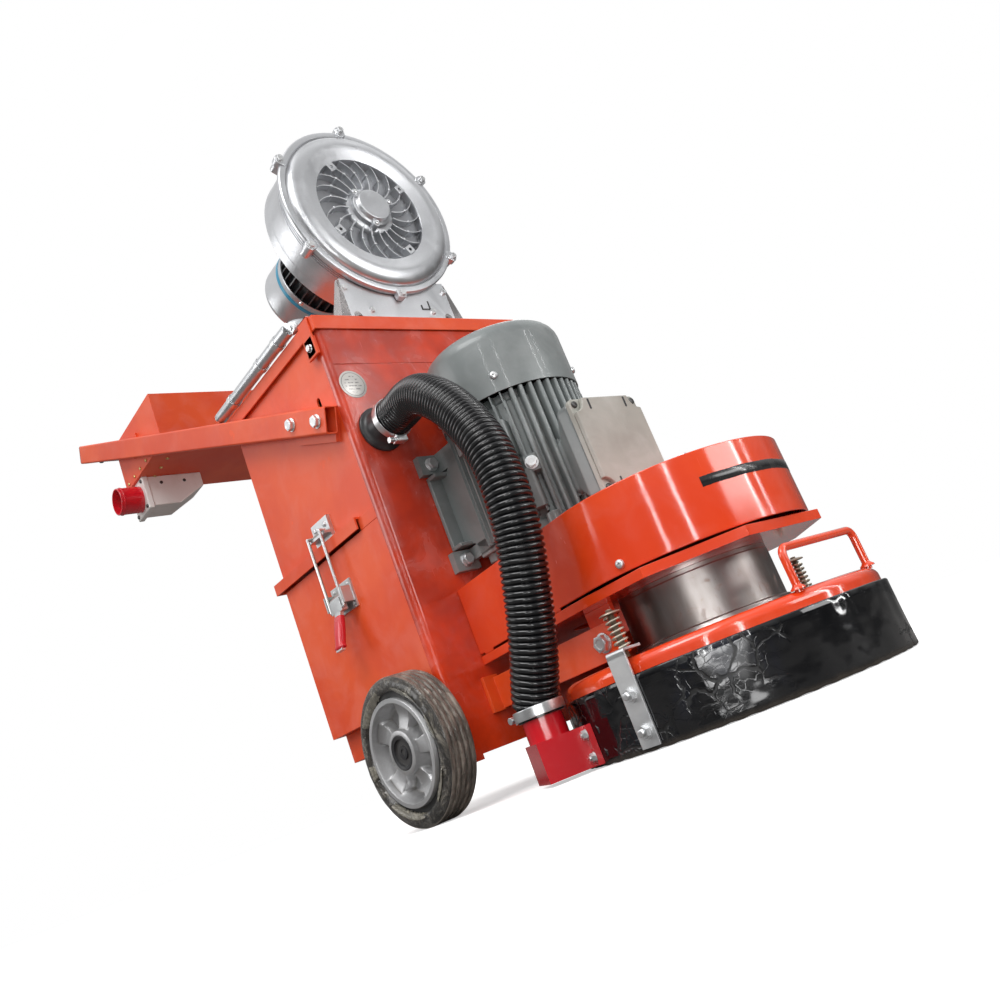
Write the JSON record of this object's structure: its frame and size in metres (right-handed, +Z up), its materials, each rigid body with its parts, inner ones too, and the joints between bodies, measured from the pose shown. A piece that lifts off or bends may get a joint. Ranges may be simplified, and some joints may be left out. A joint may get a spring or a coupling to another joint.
{
  "type": "concrete grinder",
  "caption": "Walk-behind concrete floor grinder: belt-driven disc head under a motor, cabinet with dust bin, filter and blower, two wheels and a sloping handle.",
  "frame": {"origin": "on the floor, in the middle of the machine's bounding box", "axes": "+X forward to the grinding head, +Y to the machine's left, +Z up"},
  "size_m": [1.491, 0.53, 1.133],
  "materials": {
    "orange_paint": "orange powder coat, slightly glossy",
    "red_paint": "crimson enamel",
    "filter_paper": "pleated filter paper",
    "zinc_steel": "bright zinc plating",
    "machined_steel": "turned bare steel, lightly stained",
    "motor_paint": "grey machine enamel",
    "cover_paint": "warm light grey enamel",
    "pulley_iron": "phosphated cast iron",
    "black_rubber": "black rubber",
    "tyre_rubber": "grey-brown rubber wrapped in film",
    "hub_aluminium": "cast aluminium",
    "black_plastic": "black plastic",
    "blower_motor_paint": "dark grey enamel",
    "white_plastic": "off-white plastic",
    "red_plastic": "red plastic",
    "green_plastic": "green plastic",
    "segment_bond": "sintered metal bond"
  },
  "bodies": {
    "chassis": {"base_frame": "orange_paint", "filter_housing": "orange_paint", "front_panel": "orange_paint", "lid": "orange_paint", "filter_cartridge": "filter_paper", "axle": "zinc_steel", "latch_keepers": "zinc_steel", "handle_right": "orange_paint", "handle_left": "orange_paint", "handle_bar": "orange_paint", "hex_bolts": "zinc_steel", "control_box": "orange_paint", "control_panel": "orange_paint", "inlet_housing": "white_plastic", "inlet_shroud": "red_plastic", "motor_body": "motor_paint", "motor_shields": "motor_paint", "motor_fan_cover": "motor_paint", "terminal_box": "motor_paint", "terminal_cover": "cover_paint", "belt_guard": "orange_paint", "guard_plate": "orange_paint", "belts": "black_rubber", "spindle_drum": "machined_steel", "spindle_bearings": "zinc_steel", "head_cover": "orange_paint", "lifting_loop": "orange_paint", "pivot_lugs": "red_paint", "skirt_rods": "zinc_steel", "skirt_springs": "zinc_steel", "hose": "black_rubber", "hose_collar": "black_plastic", "blower_housing": "hub_aluminium", "blower_cover": "hub_aluminium", "blower_motor": "blower_motor_paint", "blower_fan_cover": "hub_aluminium"},
    "bin": {"dust_bin": "orange_paint", "latch_bases": "zinc_steel"},
    "wheel_right": {"wheel_right_tyre": "tyre_rubber", "wheel_right_hub": "hub_aluminium"},
    "wheel_left": {"wheel_left_tyre": "tyre_rubber", "wheel_left_hub": "hub_aluminium"},
    "lever_right": {"latch_right_lever": "zinc_steel"},
    "lever_left": {"latch_left_lever": "zinc_steel"},
    "loop_right": {"latch_right_loop": "zinc_steel"},
    "loop_left": {"latch_left_loop": "zinc_steel"},
    "motor_shaft": {"motor_rotor": "machined_steel", "motor_fan": "black_plastic", "drive_pulley": "pulley_iron"},
    "spindle": {"spindle": "machined_steel", "driven_pulley": "pulley_iron", "grinding_disc": "machined_steel", "diamond_segments": "segment_bond"},
    "blower_shaft": {"blower_impeller": "hub_aluminium"},
    "skirt": {"skirt": "black_rubber", "skirt_brackets": "zinc_steel", "dust_port": "red_paint"},
    "start_button": {"start_button": "green_plastic"},
    "stop_button": {"stop_button": "red_plastic"},
    "emergency_stop": {"emergency_stop": "red_plastic"}
  },
  "joints": [
    {"name": "wheel_right_spin", "type": "hinge", "parent": "chassis", "child": "wheel_right", "pos_m": [0.19651, -0.24, 0.1], "axis": [0, 1, 0], "continuous": true},
    {"name": "wheel_left_spin", "type": "hinge", "parent": "chassis", "child": "wheel_left", "pos_m": [0.19651, 0.24, 0.1], "axis": [0, 1, 0], "continuous": true},
    {"name": "spindle_spin", "type": "hinge", "parent": "chassis", "child": "spindle", "pos_m": [0.53851, 0, 0.06], "axis": [0, 0, 1], "continuous": true},
    {"name": "motor_spin", "type": "hinge", "parent": "chassis", "child": "motor_shaft", "pos_m": [0.35651, 0, 0.24], "axis": [0, 0, 1], "continuous": true},
    {"name": "blower_spin", "type": "hinge", "parent": "chassis", "child": "blower_shaft", "pos_m": [0.17651, 0, 0.959], "axis": [1, 0, 0], "continuous": true},
    {"name": "skirt_float", "type": "slide", "parent": "chassis", "child": "skirt", "axis": [0, 0, 1], "range_m": [0, 0.015], "stiffness_N_per_m": 600, "springref_m": -0.06, "deforming": ["skirt_springs", "hose"]},
    {"name": "bin_slide", "type": "slide", "parent": "chassis", "child": "bin", "axis": [-1, 0, 0], "range_m": [0, 0.25]},
    {"name": "latch_right_open", "type": "hinge", "parent": "bin", "child": "lever_right", "pos_m": [0.08651, -0.212, 0.345], "axis": [-1, 0, 0], "range_deg": [0, 110]},
    {"name": "latch_left_open", "type": "hinge", "parent": "bin", "child": "lever_left", "pos_m": [0.08651, 0.212, 0.345], "axis": [1, 0, 0], "range_deg": [0, 110]},
    {"name": "loop_right_swing", "type": "hinge", "parent": "lever_right", "child": "loop_right", "pos_m": [0.08651, -0.2185, 0.33], "axis": [1, 0, 0], "range_deg": [0, 110]},
    {"name": "loop_left_swing", "type": "hinge", "parent": "lever_left", "child": "loop_left", "pos_m": [0.08651, 0.2185, 0.33], "axis": [-1, 0, 0], "range_deg": [0, 110]},
    {"name": "start_button_press", "type": "slide", "parent": "chassis", "child": "start_button", "axis": [1, 0, 0], "range_m": [0, 0.004], "stiffness_N_per_m": 800},
    {"name": "stop_button_press", "type": "slide", "parent": "chassis", "child": "stop_button", "axis": [1, 0, 0], "range_m": [0, 0.004], "stiffness_N_per_m": 800},
    {"name": "emergency_stop_press", "type": "slide", "parent": "chassis", "child": "emergency_stop", "axis": [1, 0, 0], "range_m": [0, 0.004], "stiffness_N_per_m": 800}
  ],
  "couplings": [
    {"joint": "motor_spin", "follows": "spindle_spin", "ratio": 1.9128},
    {"joint": "loop_right_swing", "follows": "latch_right_open", "ratio": 1},
    {"joint": "loop_left_swing", "follows": "latch_left_open", "ratio": 1}
  ]
}
